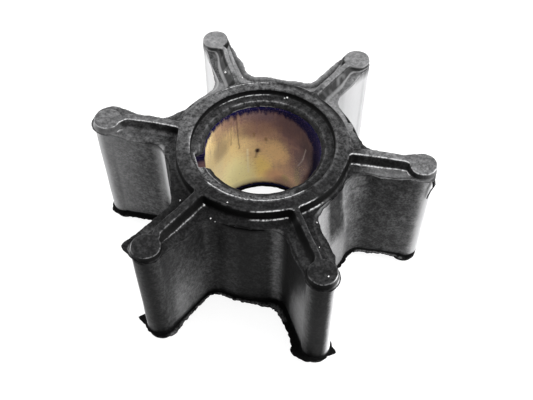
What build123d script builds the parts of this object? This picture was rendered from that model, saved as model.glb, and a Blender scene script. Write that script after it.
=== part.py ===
"""Flexible-vane pump impeller: a moulded rubber body bonded round a keyed metal bush.

The body is one moulding: a hub with straight vanes, a thin parting lip where the mould plates met,
and a raised crown of ring, ribs and discs on each end. Z is the shaft axis, and the part stands on
its lower crown at z = 0. The first vane points along +X.
"""

from build123d import *
import os

# Driving dimensions, in millimetres and degrees
overall_height = 23.5

vane_count = 6
tip_circle_radius = 25.0  # centres of the round vane tips
tip_radius = 2.25  # bead that runs down each tip
web_thickness = 4.2
hub_radius = 15.3
root_radius = 2.75  # fillet where a vane leaves the hub

lip_overhang = 0.45  # parting lip left by the mould plates
lip_thickness = 0.25

crown_height = 1.8  # ring, ribs and discs raised above each shoulder
crown_edge = 0.25  # softening of the crown's top edges
crown_foot = 0.3  # filling along the crown's foot
ring_outer_radius = 13.5
ring_inner_radius = 11.2
rib_width = 1.4
disc_radius = 2.2

recess_depth = 0.8  # shallow counterbore inside the ring
recess_edge = 0.2
seat_inner_radius = 9.75  # the flat floor of the counterbore ends here

bore_radius = 9.0
bush_wall = 2.3
bush_inset = 1.6  # from each end of the part to the bush
bush_chamfer = 0.25
lip_clearance = 0.12  # the rubber stops this far outside the bore
keyway_width = 3.2
keyway_depth = 1.55
keyway_bearing = 207.0  # from the first vane

# Worked-out sizes
half_height = overall_height / 2
upper_shoulder = overall_height - crown_height
bush_top = overall_height - bush_inset
bush_radius = bore_radius + bush_wall
lip_bore_radius = bore_radius + lip_clearance
slot_reach = bore_radius + keyway_depth
near = 0.01  # how close a measured size has to be to count as the named one


def spoked_plan(centre_radius, spoke_width, end_radius):
    """A disc with one straight spoke for each vane, each spoke ending in a round."""
    with BuildSketch() as plan:
        Circle(centre_radius)
        with PolarLocations(0, vane_count):
            with Locations((tip_circle_radius / 2, 0)):
                Rectangle(tip_circle_radius, spoke_width)
            with Locations((tip_circle_radius, 0)):
                Circle(end_radius)
    return plan.sketch


def vane_plan():
    """Hub and vanes from above. The corners that lie on the hub's circle are the vane roots."""
    with BuildSketch() as plan:
        add(spoked_plan(hub_radius, web_thickness, tip_radius))
        roots = plan.vertices().filter_by(
            lambda corner: abs(Vector(corner.X, corner.Y).length - hub_radius) < near
        )
        fillet(roots, root_radius)
    return plan.sketch


def bore_section():
    """Half of what is open along the axis above mid height, with the pocket that holds the bush."""
    seat_height = overall_height - recess_depth
    with BuildSketch(Plane.XZ) as section:
        with BuildLine():
            Polyline(
                (0, half_height),
                (bush_radius, half_height),
                (bush_radius, bush_top),
                (lip_bore_radius, bush_top),
                (seat_inner_radius, seat_height),
                (ring_inner_radius, seat_height),
                (ring_inner_radius, overall_height),
                (0, overall_height),
                close=True,
            )
        make_face()
    return section.sketch


def keyway_slot():
    """Bar as long as the part, from the axis out to the floor of the keyway."""
    with BuildPart() as slot:
        with BuildSketch():
            with PolarLocations(0, 1, start_angle=keyway_bearing):
                with Locations((slot_reach / 2, 0)):
                    Rectangle(slot_reach, keyway_width)
        extrude(amount=overall_height)
    return slot.part


def circles_of(part, radius):
    rings = part.edges().filter_by(GeomType.CIRCLE)
    return rings.filter_by(lambda edge: abs(edge.radius - radius) < near)


def rubber_body():
    """The upper half is modelled, then mirrored: both ends of the moulding are alike."""
    with BuildPart() as body:
        with BuildSketch(Plane.XY.offset(half_height)):
            add(vane_plan())
        extrude(amount=upper_shoulder - half_height)
        with BuildSketch(Plane.XY.offset(upper_shoulder)):
            add(vane_plan())
            offset(amount=lip_overhang)
        extrude(amount=-lip_thickness)

        with BuildSketch(Plane.XY.offset(upper_shoulder)):
            add(spoked_plan(ring_outer_radius, rib_width, disc_radius))
        extrude(amount=crown_height)
        level = (upper_shoulder - near, upper_shoulder + near)
        shoulder = body.faces().filter_by(Plane.XY).filter_by_position(Axis.Z, *level)[0]
        chamfer(shoulder.inner_wires()[0].edges(), crown_foot)
        crown_top = body.faces().sort_by(Axis.Z)[-1]
        chamfer(crown_top.edges(), crown_edge)

        add(bore_section())
        revolve(axis=Axis.Z, mode=Mode.SUBTRACT)
        chamfer(circles_of(body, ring_inner_radius), recess_edge)

        mirror(about=Plane.XY.offset(half_height))
        add(keyway_slot(), mode=Mode.SUBTRACT)
    return body


def metal_bush():
    """Plain tube with a keyway, its bore chamfered at both ends."""
    with BuildPart() as bush:
        with BuildSketch(Plane.XY.offset(bush_inset)):
            Circle(bush_radius)
            Circle(bore_radius, mode=Mode.SUBTRACT)
        extrude(amount=bush_top - bush_inset)
        chamfer(circles_of(bush, bore_radius), bush_chamfer)
        add(keyway_slot(), mode=Mode.SUBTRACT)
    return bush


os.makedirs("parts", exist_ok=True)

body = rubber_body()
body.part.label = "rubber_body"
export_step(body.part, "parts/rubber_body.step")

bush = metal_bush()
bush.part.label = "metal_bush"
export_step(bush.part, "parts/metal_bush.step")

for name, made in (("rubber_body", body), ("metal_bush", bush)):
    print(name, "volume", round(made.part.volume), "mm3")
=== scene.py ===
# %% [markdown]
# # A rubber pump impeller
# A flexible-vane impeller is one block of black rubber moulded round a short brass tube. The solids that
# carry its sizes come in model.glb. This lesson gives them their looks: a modelled rubber skin with its
# torn flash, a tarnished bore, and the specks of lint that stick to rubber.
# Sizes are written in millimetres, as a workshop drawing has them, and turned into metres at the end.

import math

import bmesh
import bpy
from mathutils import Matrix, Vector, noise


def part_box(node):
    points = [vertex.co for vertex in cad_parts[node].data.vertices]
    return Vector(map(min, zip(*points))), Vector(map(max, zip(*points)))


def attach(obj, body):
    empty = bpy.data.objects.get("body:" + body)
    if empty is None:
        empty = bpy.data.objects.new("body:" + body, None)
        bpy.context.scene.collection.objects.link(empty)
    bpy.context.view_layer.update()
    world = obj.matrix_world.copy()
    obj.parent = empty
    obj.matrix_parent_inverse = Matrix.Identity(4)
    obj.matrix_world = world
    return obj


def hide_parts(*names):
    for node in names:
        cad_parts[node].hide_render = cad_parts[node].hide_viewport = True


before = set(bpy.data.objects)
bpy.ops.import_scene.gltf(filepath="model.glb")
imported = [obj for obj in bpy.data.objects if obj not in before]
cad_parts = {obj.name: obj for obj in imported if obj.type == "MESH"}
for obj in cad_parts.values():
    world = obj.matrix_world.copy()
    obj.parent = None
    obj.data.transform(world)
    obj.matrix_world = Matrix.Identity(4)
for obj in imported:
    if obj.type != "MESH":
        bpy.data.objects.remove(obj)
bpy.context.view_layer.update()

MM = 0.001
_, body_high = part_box("rubber_body")
bush_low, bush_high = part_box("metal_bush")
HEIGHT = body_high.z / MM
REACH = body_high.x / MM
BUSH_INSET = bush_low.z / MM
BUSH_RADIUS = bush_high.x / MM
print("height", round(HEIGHT, 2), "reach", round(REACH, 2), "bush", round(BUSH_RADIUS, 2))

# %% [markdown]
# ## The camera
# The part is seen from above and in front. The camera could be turned by three angles, but it is
# simpler to say where it stands and which point it looks at, and to let the tracking do the rest.

# %% Camera
CAMERA_PLACE = (15.56, -79.63, 114.68)
CAMERA_TARGET = (-0.674, 6.772, 0.0)
CAMERA_LENS = 53.3


def metres(point):
    return Vector(point) * MM


camera_data = bpy.data.cameras.new("camera")
camera_data.lens = CAMERA_LENS
camera_data.sensor_width = 36.0
camera_data.clip_start = 0.005
camera = bpy.data.objects.new("camera", camera_data)
bpy.context.scene.collection.objects.link(camera)
camera.location = metres(CAMERA_PLACE)
sight = metres(CAMERA_TARGET) - metres(CAMERA_PLACE)
camera.rotation_euler = sight.to_track_quat("-Z", "Y").to_euler()
bpy.context.scene.camera = camera
bpy.context.scene.view_settings.view_transform = "Standard"
print("camera", round(sight.length / MM, 1), "mm from its target")

# %% [markdown]
# ## The plan of the moulding
# Seen from above, the vanes and the crown that stands on them are the same kind of star: a round
# middle, straight arms and round ends. One function can draw both when it is given the radii and the
# width, and because it always gives the same number of points, each point of one star has its partner
# in the other. That is what lets the two be joined with clean four-sided faces.

# %% Sizes of the moulding
ARM_COUNT = 6
HALF_STEP = math.pi / ARM_COUNT
TIP_RADIUS = 2.25
LIP = 0.45
TIP_CIRCLE = REACH - TIP_RADIUS - LIP
VANE_STAR = dict(core=15.3, half_width=2.1, end=TIP_RADIUS, root=2.75)
CROWN_STAR = dict(core=13.6, half_width=0.75, end=TIP_RADIUS, root=0.5)

HUB_STEPS = 14
ROOT_STEPS = 12
SIDE_STEPS = 32
TIP_STEPS = 18  # from the side to the middle of the end
HALF_COUNT = HUB_STEPS + ROOT_STEPS + SIDE_STEPS + TIP_STEPS
ARM_POINTS = 2 * HALF_COUNT


def half_arm(star, grow, tip_circle):
    """Points from the gap's middle to the end of an arm that points along +X, on its left side."""
    core = star["core"] + grow
    width = star["half_width"] + grow
    end = star["end"] + grow
    root = max(0.05, star["root"] - grow)
    root_x = math.sqrt((core + root) ** 2 - (width + root) ** 2)
    root_y = width + root
    join = math.atan2(root_y, root_x)
    points = []
    for step in range(HUB_STEPS):
        angle = HALF_STEP + (join - HALF_STEP) * step / HUB_STEPS
        points.append((core * math.cos(angle), core * math.sin(angle)))
    for step in range(ROOT_STEPS):
        angle = math.pi + join + (math.pi / 2 - join) * step / ROOT_STEPS
        points.append((root_x + root * math.cos(angle), root_y + root * math.sin(angle)))
    side_end = math.sqrt(max(0.0, end**2 - width**2))
    for step in range(SIDE_STEPS):
        along = root_x + (tip_circle - side_end - root_x) * step / SIDE_STEPS
        points.append((along, width))
    start = math.atan2(width, -side_end)
    for step in range(TIP_STEPS + 1):
        angle = start * (1 - step / TIP_STEPS)
        points.append((tip_circle + end * math.cos(angle), end * math.sin(angle)))
    return points


def arm_outline(star, grow, tip_circle):
    """One arm, counter-clockwise from the gap on its right to just before the gap on its left."""
    left = half_arm(star, grow, tip_circle)
    right = [(x, -y) for x, y in left]
    return right + left[-2:0:-1]


print("points round the star", ARM_COUNT * ARM_POINTS, len(arm_outline(VANE_STAR, 0, 25)))

# %% [markdown]
# ## How the used vanes stand
# Rubber takes a set. On this part every vane leans a little off its true bearing, and its rib has crept
# towards one side. Moving finished vertices by hand would be slow and hard to repeat, so each arm gets
# one line of workshop notes instead. Left and right are as seen from the shaft, looking out along it.

# %% Notes on each arm
# Turn in degrees. In millimetres: reach, the rib's creep at its root and its tip, how much wider its
# foot is there on the other side, and how much slimmer its top is. Bloom goes from 0 to 1, on the rib's
# top and on the ledges beside it: the grey film on old rubber with painted light, high on the far arms
# and nearly none on the near ones.
ARMS = (
    dict(turn=0.4, reach=-0.35, rib=(0.85, 0.6), flare=(0.4, 0.9), slim=0.0, bloom_and_light=0.42, ledge=0.6),
    dict(turn=0.4, reach=-0.45, rib=(0.5, 0.5), flare=(0.8, 1.0), slim=0.15, bloom_and_light=0.55, ledge=0.5),
    dict(turn=-0.3, reach=0.15, rib=(-0.45, -0.95), flare=(0.9, 1.2), slim=0.3, bloom_and_light=0.68, ledge=0.6),
    dict(turn=-0.9, reach=0.05, rib=(-1.3, -1.05), flare=(0.0, 0.6), slim=0.0, bloom_and_light=0.42, ledge=0.4),
    dict(turn=0.5, reach=0.25, rib=(-0.75, -0.7), flare=(0.35, 0.8), slim=0.0, bloom_and_light=0.04, ledge=0.03),
    dict(turn=0.0, reach=-0.03, rib=(0.35, 0.35), flare=(0.5, 0.5), slim=0.25, bloom_and_light=0.04, ledge=0.03),
)
SET_START = 12.5  # the set grows from here, along the arm
SET_FULL = 17.5
CREEP_START = 10.5  # and the rib's creep sooner, so it meets the ring to one side
CREEP_FULL = 14.0
CREEP_NEAR = 2.2  # it is whole this far to the side of the arm's middle line
CREEP_FAR = 7.0  # and gone here
END_FIRST = 3.0  # and it dies out between these distances before the middle of the round end
END_LAST = 1.5


def held(value):
    return min(1.0, max(0.0, value))


def smooth(value, low, high):
    """0 below low and 1 above high, with a soft start and a soft end."""
    t = held((value - low) / (high - low))
    return t * t * (3 - 2 * t)


def blend(first, second, share):
    return first + (second - first) * share


def turned(point, angle):
    c, s = math.cos(angle), math.sin(angle)
    return (c * point[0] - s * point[1], s * point[0] + c * point[1])


def star_outline(star, grow, rib_share, flare_share=0.0):
    """The whole star. The shares say how much of each arm's creep and flare of the rib applies."""
    outline = []
    for number, arm in enumerate(ARMS):
        bearing = 2 * HALF_STEP * number
        turn = math.radians(arm["turn"])
        creep_side = math.copysign(1.0, arm["rib"][1])
        for x, y in arm_outline(star, grow, TIP_CIRCLE + arm["reach"]):
            set_here = smooth(x, SET_START, SET_FULL)
            crept = smooth(x, CREEP_START, CREEP_FULL) * (1 - smooth(abs(y), CREEP_NEAR, CREEP_FAR))
            along = smooth(x, SET_FULL, TIP_CIRCLE)
            before_end = 1 - smooth(x, TIP_CIRCLE - END_FIRST, TIP_CIRCLE - END_LAST)
            shift = blend(*arm["rib"], along) * rib_share * crept
            side = math.copysign(1.0, y)
            shift -= side * arm["slim"] * rib_share * crept * (star is CROWN_STAR)
            if side != creep_side:
                shift += side * blend(*arm["flare"], along) * flare_share * crept
            outline.append(turned(turned((x, y + shift * before_end), turn * set_here), bearing))
    return outline


def outward_normals(outline):
    normals = []
    count = len(outline)
    for i in range(count):
        x0, y0 = outline[i - 1]
        x1, y1 = outline[(i + 1) % count]
        length = math.hypot(x1 - x0, y1 - y0)
        normals.append(((y1 - y0) / length, (x0 - x1) / length))
    return normals


vane_plan = star_outline(VANE_STAR, 0.0, 0.0)
vane_normals = outward_normals(vane_plan)
print("vane plan", len(vane_plan), "points")

# %% [markdown]
# ## The flash
# Where the mould plates met, the rubber squeezed out into a thin lip and was torn off, not trimmed.
# The lip could be a bump in the material, but it breaks the outline, so it has to be real. Its width
# is noted at eight places round each arm, from the gap on its right round the end to its left root,
# and slides from one to the next. A tremble and a few tears that were left long are added to that.
# A width below nothing is an edge that was torn back into the moulding.

# %% Width of the flash
FLASH_PLACES = (0, 20, 40, 62, HALF_COUNT, 90, 110, 128, ARM_POINTS)
WANDER = 0.12
NICKS = 0.6  # the smallest teeth of the torn edge, as a share of its tremble
TORN_BACK = -0.45
# one row for each arm: gap, right root, side and corner, end, left corner, side and root
UPPER_WIDTHS = (
    (0.3, 0.1, 0.3, 0.35, 0.0, 0.6, 0.5, 0.8),
    (-0.4, 0.1, 0.1, -0.2, 0.0, 0.4, 1.0, 1.0),
    (0.6, 1.0, 0.7, 0.2, 0.1, -0.1, 0.1, 0.5),
    (-0.3, 1.2, 1.2, 1.4, 0.5, 0.2, 0.25, -0.15),
    (-0.2, 1.4, 1.3, 1.0, 0.0, 0.1, 0.3, 0.3),
    (-0.4, 0.3, 0.4, 0.3, 0.3, 0.25, 0.9, 0.7),
)
LOWER_WIDTHS = (
    (0.5, 0.75, 0.55, 0.75, -0.2, 0.3, 0.5, 0.5),
    (0.5, 0.6, 0.6, 0.5, 0.2, 0.5, 0.6, 0.6),
    (0.5, 0.6, 0.7, 0.5, 0.2, 0.5, 0.6, 0.6),
    (0.5, 0.8, 0.8, 0.4, 0.0, 0.9, 1.1, 1.0),
    (0.5, 0.5, 0.3, 0.3, 0.4, 1.0, 0.6, 0.6),
    (0.8, 1.8, 1.3, 1.4, 0.4, 0.1, 0.8, 0.8),
)
# arm, place along its outline, half-width in points, extra length
UPPER_TEARS = ((2, 36, 8, 0.4), (4, 66, 4, 0.7), (0, 68, 4, 0.5), (5, 102, 5, 0.2))
LOWER_TEARS = ((4, 66, 4, 1.3), (5, 60, 4, 0.5), (5, 84, 4, 1.2), (0, 60, 4, 0.3))


def roughen(x, y, z, amount, scale):
    """A smooth random height that is always the same at the same place."""
    return amount * noise.noise(Vector((x, y, z)) * scale)


def flash_width(index, rows, seed, tears, tremble):
    """Width at one point of the plan."""
    number, place = divmod(index, ARM_POINTS)
    notes = rows[number] + rows[(number + 1) % ARM_COUNT][:1]
    width = notes[-1]
    for i in range(len(notes) - 1):
        if FLASH_PLACES[i] <= place < FLASH_PLACES[i + 1]:
            share = smooth(place, FLASH_PLACES[i], FLASH_PLACES[i + 1])
            width = blend(notes[i], notes[i + 1], share)
    x, y = vane_plan[index]
    width += roughen(x, y, seed, WANDER, 0.35) + roughen(x, y, seed, tremble, 1.7)
    width += roughen(x, y, seed, NICKS * tremble, 4.5)
    for tear_arm, tear_place, spread, length in tears:
        if tear_arm == number:
            width += length * max(0.0, 1 - abs(place - tear_place) / spread)
    return max(TORN_BACK, width)


upper_flash = [flash_width(i, UPPER_WIDTHS, 3.1, UPPER_TEARS, 0.1) for i in range(len(vane_plan))]
lower_flash = [flash_width(i, LOWER_WIDTHS, 8.7, LOWER_TEARS, 0.22) for i in range(len(vane_plan))]
print("upper flash", round(min(upper_flash), 2), "to", round(max(upper_flash), 2), "mm")
print("lower flash", round(min(lower_flash), 2), "to", round(max(lower_flash), 2), "mm")

# %% [markdown]
# ## The rubber skin, from loop to loop
# The skin could be a copy of the plain solid with a remesh over it, but a remesh fine enough for the
# flash would need millions of faces. Instead the skin is a stack of closed loops, one for each change
# of form: up the vane, out along the flash, in over the shoulder, round the foot of the crown, up its
# wall and over its edge. Each loop also notes what kind of surface it is, for the material to use.

# %% Helpers for the skin
MID = HEIGHT / 2
CROWN_HEIGHT = 1.8
FLASH_RISE = 0.3
TIP_RISE = 0.6  # the shoulder and its flash stand higher round the ends of the vanes
NOTES = ("worn", "dirt_and_shade", "top", "line")

skin_points = []
skin_faces = []
skin_notes = {name: [] for name in NOTES}


def add_point(x, y, z, worn=0.0, dirt_and_shade=0.0, top=0.0, line=0.0):
    skin_points.append((x, y, z))
    for name, value in zip(NOTES, (worn, dirt_and_shade, top, line)):
        skin_notes[name].append(value)
    return len(skin_points) - 1


def join_loops(lower, upper):
    """Four-sided faces between two closed loops of the same length."""
    count = len(lower)
    for i in range(count):
        j = (i + 1) % count
        skin_faces.append((lower[i], lower[j], upper[j], upper[i]))


def tip_share(index):
    """1 round the end of an arm, 0 along its sides."""
    return 1 - smooth(abs(index % ARM_POINTS - HALF_COUNT), TIP_STEPS + 2, TIP_STEPS + 16)


def at_height(depth, end):
    """Height of a point that lies depth below the upper face, or above the lower one."""
    return HEIGHT - depth if end == "upper" else depth


def window(value, first, last, soft):
    """1 between first and last, sliding to 0 over the soft distance outside them."""
    return smooth(value, first - soft, first) * (1 - smooth(value, last, last + soft))


# Painted highlights, thin bright lines where edges and coves catch the light. On the stars: which loop,
# arm, first and last place, strength.
LINES = (
    ("low", 0, 24, 60, 0.2),
    ("edge", 5, 4, 22, 0.7),
    ("cove", 5, 4, 19, 1.0),
    ("edge", 5, 133, 142, 0.6),
    ("cove", 5, 140, 145, 0.8),
    ("cove", 0, 24, 59, 1.0),
    ("edge", 0, 20, 57, 0.65),
    ("edge", 0, 61, 73, 0.35),
    ("edge", 3, 94, 130, 0.65),
    ("edge", 3, 82, 94, 0.3),
    ("slit", 3, 89, 95, 1.0),
    ("edge", 4, 96, 110, 0.12),
    ("cove", 4, 98, 128, 0.35),
    ("edge", 4, 80, 90, 0.14),
    ("low", 4, 88, 151, 0.18),
    ("low", 5, 0, 34, 0.18),
    ("edge", 5, 69, 80, 0.1),
)
# Painted highlights on the round loops: which loop, first and last bearing in degrees, strength. The
# shade is no highlight but a painted shade band on the ring's outer wall.
ARCS = (
    ("ring", 98, 132, 0.6),
    ("shade", 26, 90, 0.75),
    ("rim", 236, 312, 0.6),
    ("rim", 180, 196, 0.2),
    ("floor", 200, 218, 0.3),
    ("floor", 216, 306, 0.10),
    ("foot", 98, 136, 0.7),
    ("seat", 76, 128, 0.22),
    ("seat", 216, 240, 0.25),
    ("lip", 92, 130, 0.2),
)
LINE_FADE = 3  # a line dies away over this many points of a star
ARC_FADE = 4  # or over this many degrees of a round loop


def in_degrees(angle):
    return math.degrees(angle) % 360


def bearing_of(x, y):
    return in_degrees(math.atan2(y, x))


def strongest(place, lines, fade):
    return max([s * window(place, a, b, fade) for a, b, s in lines], default=0.0)


def line_on_star(kind, index):
    number, place = divmod(index, ARM_POINTS)
    return strongest(place, [row[2:] for row in LINES if row[:2] == (kind, number)], LINE_FADE)


def line_on_arc(kind, angle):
    return strongest(in_degrees(angle), [row[1:] for row in ARCS if row[0] == kind], ARC_FADE)


# %% [markdown]
# ### The side of the vanes
# These loops carry the smooth walls that the mould gave the vanes and the hub. They are not quite
# flat: a slow waviness of a few hundredths of a millimetre keeps the reflections from looking drawn.
# In two places the hub's wall also falls back towards the top.

# %% Side loops
WALL_WAVE = 0.05
WAVE_SCALE = 0.28
SHADED_FEET = (4, 5)  # arms with a painted shade band over the lower flash
FOOT_BAND = 2.30  # the depth of the loop that carries it
LOW_LINE = 0.80  # the share of the flash where the lower lip's painted highlight lies
UPPER_SIDE = 1.9  # loops with a smaller depth than this lie on the outer face of the lip
LIP_WAVE = 0.16
FULL_RISE_WIDTH = 0.8  # a lip this wide or wider curls up all the way
TORN_WIDTH = 0.05  # one narrower than this shows its torn, dark edge
FLASH_LEVELS = (
    # share of the flash's width, depth below the face, dirt and painted shade
    (0.0, FOOT_BAND, 0.0),
    (0.0, 2.14, 0.5),
    (0.08, 2.07, 0.8),
    (0.35, 2.05, 0.6),
    (LOW_LINE, 2.04, 0.4),
    (0.97, 2.00, 0.4),
    (1.00, 1.93, 0.2),  # the lip's edge
    (0.96, 1.86, 0.0),
    (0.80, 1.82, 0.0),
    (0.45, CROWN_HEIGHT, 0.1),
    (0.0, CROWN_HEIGHT, 0.2),
)
WALL_DEPTHS = (3.0, 4.0, 5.2, 6.6, 8.2, 10.0)
# Near the top the wall falls back from the plan in two places. Bearing in degrees, depth in mm.
DENTS = (
    (194, 0.0), (199, 0.5), (208, 0.45), (216, 0.0),
    (308, 0.0), (314, 0.6), (319, 1.1), (325, 1.25),
    (342, 1.25), (347, 0.9), (350, 0.6), (353, 0.25), (356, 0.0),
)
DENT_FOOT = 8.0  # the height from which the wall leans back
DENT_NEAR = 17.0  # whole up to this radius
DENT_FAR = 19.0  # and none beyond this one, so the vanes stay straight


def slide(value, stops, values):
    """The value at one place of a row of stops, sliding from each to the next."""
    found = values[0]
    for i in range(len(stops) - 1):
        found += (values[i + 1] - values[i]) * smooth(value, stops[i], stops[i + 1])
    return found


def dent(x, y, z):
    """How far the wall falls back at one place."""
    radius = math.hypot(x, y)
    if radius > DENT_FAR:
        return 0.0
    depth = slide(bearing_of(x, y), *zip(*DENTS))
    return depth * smooth(z, DENT_FOOT, HEIGHT - 3.0) * (1 - smooth(radius, DENT_NEAR, DENT_FAR))


def wall_loop(z):
    loop = []
    for (x, y), (nx, ny) in zip(vane_plan, vane_normals):
        out = roughen(x, y, z, WALL_WAVE, WAVE_SCALE) - dent(x, y, z)
        loop.append(add_point(x + nx * out, y + ny * out, z))
    return loop


def flash_loop(share, depth, dirt_and_shade, end, widths):
    """One loop of the flash. The share says how far out on it the loop lies, from 0 to 1."""
    upper = end == "upper"
    loop = []
    for i, ((x, y), (nx, ny), width) in enumerate(zip(vane_plan, vane_normals, widths)):
        out = share * width + (1 - share) * roughen(x, y, depth, WALL_WAVE, WAVE_SCALE)
        out -= dent(x, y, HEIGHT) * upper
        lift = FLASH_RISE * share**2 * held(width / FULL_RISE_WIDTH) * upper
        lift += TIP_RISE * tip_share(i) * upper
        wave = roughen(x, y, 5.0 if upper else 9.0, LIP_WAVE, 0.5) * share
        torn = held((TORN_WIDTH - width) * 3) * (depth > CROWN_HEIGHT or share > 0)
        top = share if depth < UPPER_SIDE else 0
        line = 0.0
        black = max(dirt_and_shade, torn)
        # on the lower end: a painted highlight on the lip, the flash painted black from its root as
        # shade, and a painted shade band above it on some arms
        if not upper:
            line = line_on_star("low", i) * (share == LOW_LINE) * (depth > UPPER_SIDE)
            foot = 0.9 * (depth == FOOT_BAND) * (i // ARM_POINTS in SHADED_FEET)
            black = max(black, foot, smooth(share, 0.0, 0.3))
        place = at_height(depth - lift + wave, end)
        loop.append(add_point(x + nx * out, y + ny * out, place, 0.0, black * (1 - line), top, line))
    return loop


# %% [markdown]
# ### Shoulder and crown
# From the flash the surface runs in over the flat shoulder. Point by point it slides from the vane's
# star to the crown's star, so the shoulder needs no cutting and no triangles.

# %% Shoulder and crown loops
CROWN_LEVELS = (
    # growth of the crown's star, depth, share of the flare, rubbed edge with painted glint, dirt and
    # painted shade, top surface, kind of painted highlight
    (0.38, 1.800, 1.00, 0.0, 0.1, 0.9, ""),
    (0.27, 1.730, 1.00, 0.1, 0.2, 0.8, ""),
    (0.17, 1.600, 1.00, 0.1, 0.3, 0.5, "cove"),
    (0.10, 1.460, 0.95, 0.1, 0.6, 0.2, ""),
    (0.04, 1.300, 0.85, 0.0, 1.0, 0.0, ""),
    (0.00, 1.100, 0.65, 0.0, 1.0, 0.0, ""),
    (-0.04, 0.800, 0.45, 0.0, 1.0, 0.0, ""),
    (-0.07, 0.450, 0.20, 0.0, 1.0, 0.0, ""),
    (-0.10, 0.180, 0.05, 0.2, 0.7, 0.0, ""),
    (-0.14, 0.070, 0.00, 0.4, 0.0, 0.5, "edge"),
    (-0.20, 0.015, 0.00, 0.4, 0.0, 0.9, "edge"),
    (-0.28, 0.000, 0.00, 0.1, 0.0, 1.0, ""),
    (-0.42, 0.000, 0.00, 0.0, 0.0, 1.0, ""),
)
WALL_SHADE = (0.85, 1.1, 1.25, 0.5, 1.0, 1.0)  # how black the painted shade on the rib's wall is on each arm
PATCHY = (0.0, 1.2, 0.9, 0.5, 0.0, 0.0)  # and how uneven
FAR_ARMS = (1, 2)  # on these the foot of the rib gets less bloom, a painted shade
FOOT_GROWTH = 0.1  # loops that have grown more than this are that foot
WALL_GROWTH = -0.05  # and those with less than this are the wall's upper part and the top
RIB_FIRST = 14.5  # the rib's own painted wall shade starts at this radius
RIB_LAST = 16.0
RING_WALL = 13.7  # the ring's outer wall lies within this radius
SHOULDER_STEPS = 6
SLIT_STEPS = (2, 3)  # the shoulder loops that carry the short painted highlight slit
FOOT_MARGIN = 0.12
LUMPY_FIRST = 184  # bearings between which the shoulder is lumpy
LUMPY_LAST = 197


def crown_loop(level, end, seed, widths):
    grow, depth, flare, worn, dirt_and_shade, top_share, kind = level
    upper = end == "upper"
    loop = []
    outline = star_outline(CROWN_STAR, grow, 1.0, flare)
    for i, ((x, y), (nx, ny)) in enumerate(zip(outline, outward_normals(outline))):
        number = i // ARM_POINTS
        radius = math.hypot(x, y)
        tip = tip_share(i)
        over = max(0.0, grow - (widths[i] - FOOT_MARGIN)) * tip * (grow > WALL_GROWTH)
        out = roughen(x, y, seed, 0.05, 0.9) + roughen(x, y, seed + 5, 0.025, 2.4) - over
        rise = TIP_RISE * tip * depth / CROWN_HEIGHT * upper
        line = line_on_star(kind, i) * upper
        # rubbed edges with painted glints, brighter on the lighter arms
        rubbed_and_glint = worn * min(1.0, 0.35 + ARMS[number]["bloom_and_light"])
        on_rib = smooth(radius, RIB_FIRST, RIB_LAST)
        # the rib's wall gets a patchy painted shade
        patch = held(WALL_SHADE[number] + roughen(x, y, 40.0, PATCHY[number], 0.9))
        dirt_and_shade_here = dirt_and_shade * blend(1, patch, on_rib)
        top = top_share + 0.35 * (1 - top_share) * (dirt_and_shade - dirt_and_shade_here) * (dirt_and_shade > 0.5)
        top *= 1 - 0.45 * on_rib * (grow > FOOT_GROWTH) * (number in FAR_ARMS)
        on_ring = (grow < WALL_GROWTH) * (radius < RING_WALL) * upper
        dark = line_on_arc("shade", math.atan2(y, x)) * on_ring
        marks = (rubbed_and_glint * (1 - dark), max(dirt_and_shade_here, dark) * (1 - line), top, line)
        loop.append(add_point(x + nx * out, y + ny * out, at_height(depth - rise, end), *marks))
    return loop


def shoulder_loops(outer, inner, end):
    """Loops between the flash and the foot of the crown, made rough by small lumps."""
    upper = end == "upper"
    loops = []
    for step in range(1, SHOULDER_STEPS):
        share = step / SHOULDER_STEPS
        loop = []
        for a, b in zip(outer, inner):
            x, y, z = Vector(skin_points[a]).lerp(Vector(skin_points[b]), share)
            z += roughen(x, y, 1.0, 0.08, 1.3) + roughen(x, y, 2.0, 0.05, 3.5)
            lumpy = window(bearing_of(x, y), LUMPY_FIRST, LUMPY_LAST, 3) * upper
            z += lumpy * (0.15 + roughen(x, y, 1.0, 0.45, 1.1) + roughen(x, y, 2.0, 0.2, 2.6))
            # the flash's dark edge fades in, and a painted shade deepens towards the foot of the crown
            torn = skin_notes["dirt_and_shade"][a] * (1 - share)
            line = line_on_star("slit", len(loop)) * (step in SLIT_STEPS) * upper
            loop.append(add_point(x, y, z, 0.0, max(torn, 0.1 + 0.3 * share**2), 1.0, line))
        loops.append(loop)
    return loops


def end_loops(end, widths, seed):
    """All loops of one end, from the vane's wall to the edge of the crown's top."""
    loops = [flash_loop(*level, end, widths) for level in FLASH_LEVELS]
    crown = [crown_loop(level, end, seed, widths) for level in CROWN_LEVELS]
    return loops + shoulder_loops(loops[-1], crown[0], end) + crown


wall_zs = [at_height(d, "lower") for d in WALL_DEPTHS]
wall_zs += [MID] + [at_height(d, "upper") for d in reversed(WALL_DEPTHS)]
walls = [wall_loop(z) for z in wall_zs]
upper_loops = end_loops("upper", upper_flash, 3.0)
lower_loops = end_loops("lower", lower_flash, 11.0)
stack = lower_loops[::-1] + walls + upper_loops
for below, above in zip(stack, stack[1:]):
    join_loops(below, above)
print("loops", len(stack), "points", len(skin_points), "faces", len(skin_faces))

# %% [markdown]
# ### The top of the crown
# The last loop of the crown is filled in rows: across each arm from its right side to its left, and
# across the ring from the outside to the hole. Rows keep the faces even, so small dents can be
# pressed into them.

# %% Fill the crown's top
ACROSS = 6
RIB_ROOT = HUB_STEPS + ROOT_STEPS  # points from the gap's middle to where a rib runs straight
RING_HOLE = 11.2
RING_RADII = (13.14, 13.05, 12.96, 12.6, 12.2, 11.8, 11.46)
RING_LINE = 13.05  # the loop that carries the ring's painted highlight
RING_EDGE = 12.9  # the shade of the ring's wall reaches in to here


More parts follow.
